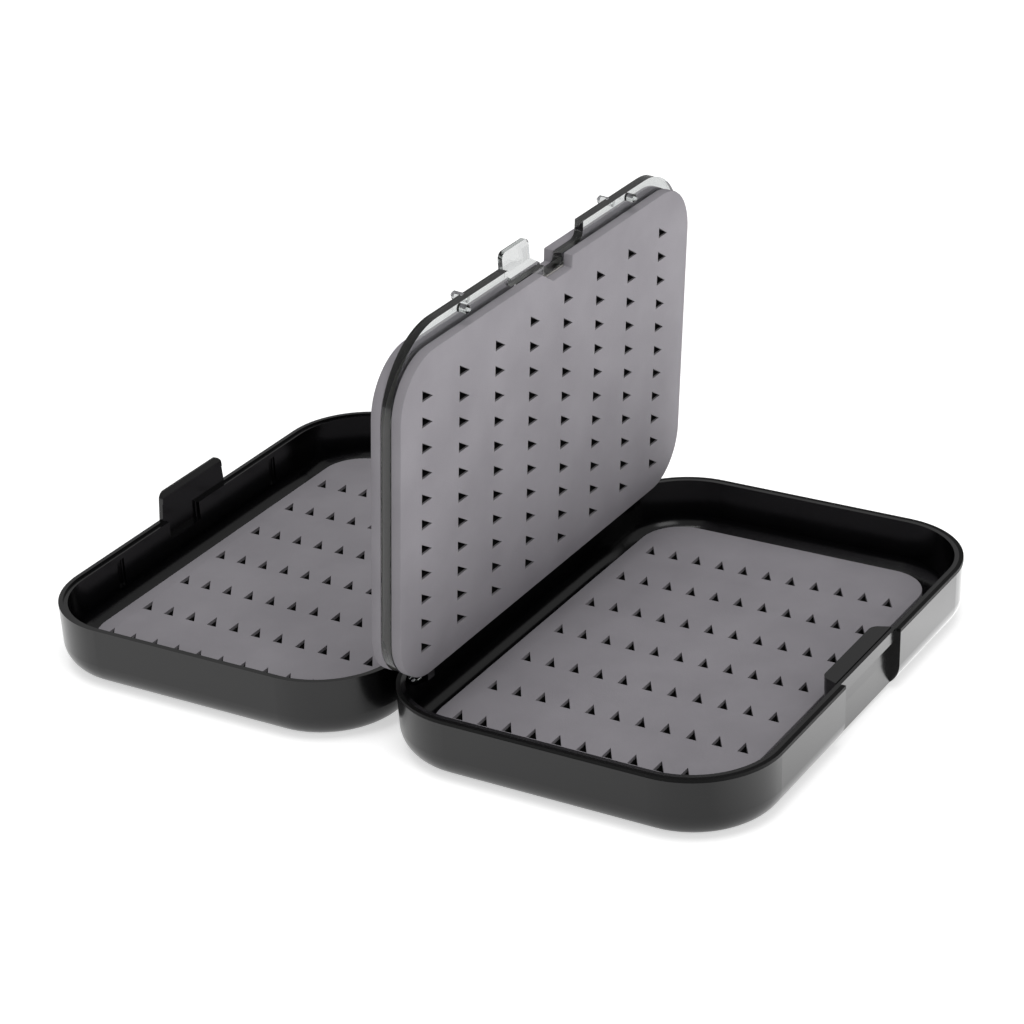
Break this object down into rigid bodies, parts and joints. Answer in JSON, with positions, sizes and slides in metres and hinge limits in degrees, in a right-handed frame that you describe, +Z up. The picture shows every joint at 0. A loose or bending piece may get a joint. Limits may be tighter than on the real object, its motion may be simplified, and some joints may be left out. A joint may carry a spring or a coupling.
{
  "type": "fly box",
  "caption": "Flat rounded fishing-fly box, open like a book: two black trays with slit foam, a clear leaf with foam on both faces, hinges and a snap latch.",
  "frame": {"origin": "middle of the open box, on the plane that both trays lie on", "axes": "+X from the hinge towards the base tray, +Y along the hinge, +Z up"},
  "size_m": [0.2092, 0.15, 0.1137],
  "materials": {
    "black_plastic": "moulded ABS, semi-gloss black",
    "seal_rubber": "matt black rubber",
    "adhesive_film": "double-sided adhesive film",
    "grey_foam": "closed-cell EVA foam, grey",
    "pin_steel": "drawn steel wire",
    "clear_plastic": "clear moulded styrene"
  },
  "bodies": {
    "base": {"tray_base": "black_plastic", "rim_seal": "seal_rubber", "tape_base": "adhesive_film", "foam_base": "grey_foam", "hinge_pin_near": "pin_steel", "hinge_pin_far": "pin_steel"},
    "lid": {"tray_lid": "black_plastic", "tape_lid": "adhesive_film", "foam_lid": "grey_foam"},
    "leaf": {"leaf_plate": "clear_plastic", "tape_leaf_front": "adhesive_film", "foam_leaf_front": "grey_foam", "tape_leaf_back": "adhesive_film", "foam_leaf_back": "grey_foam"}
  },
  "joints": [
    {"name": "lid_hinge", "type": "hinge", "parent": "base", "child": "lid", "pos_m": [0, 0, 0.0176], "axis": [0, 1, 0], "range_deg": [0, 180]},
    {"name": "leaf_hinge", "type": "hinge", "parent": "base", "child": "leaf", "pos_m": [0.0069, 0, 0.0176], "axis": [0, 1, 0], "range_deg": [0, 85.9]}
  ],
  "couplings": [
    {"joint": "leaf_hinge", "follows": "lid_hinge", "ratio": 0.47722}
  ]
}
